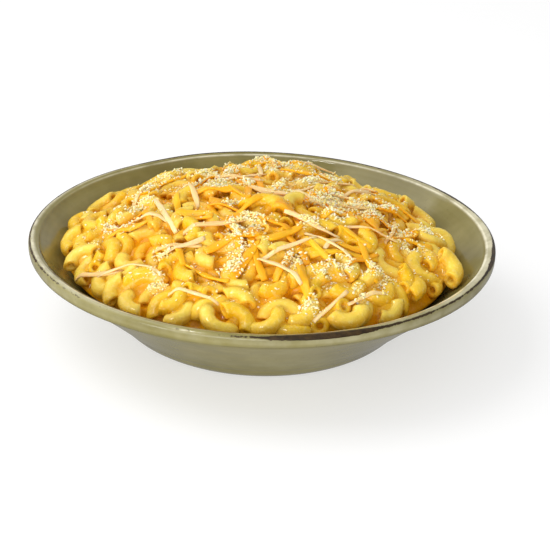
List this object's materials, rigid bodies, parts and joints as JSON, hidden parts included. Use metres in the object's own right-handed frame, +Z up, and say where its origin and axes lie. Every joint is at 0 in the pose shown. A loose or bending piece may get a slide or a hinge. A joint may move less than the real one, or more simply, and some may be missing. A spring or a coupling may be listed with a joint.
{
  "type": "bowl of mac and cheese",
  "caption": "Shallow round glazed stoneware pasta bowl heaped with sauced elbow macaroni, strewn with orange and white cheese shreds and crumbs.",
  "frame": {"origin": "middle of the foot ring, on the surface that the bowl stands on", "axes": "+Z up through the middle of the bowl; -Y is the front; +X is to the right seen from the front"},
  "size_m": [0.245, 0.245, 0.0761],
  "materials": {
    "glaze": "sage-olive gloss glaze that breaks to dark brown on the edges of the rim",
    "macaroni": null
  },
  "bodies": {
    "root": {"bowl": "glaze", "macaroni_heap": "macaroni"}
  },
  "joints": []
}
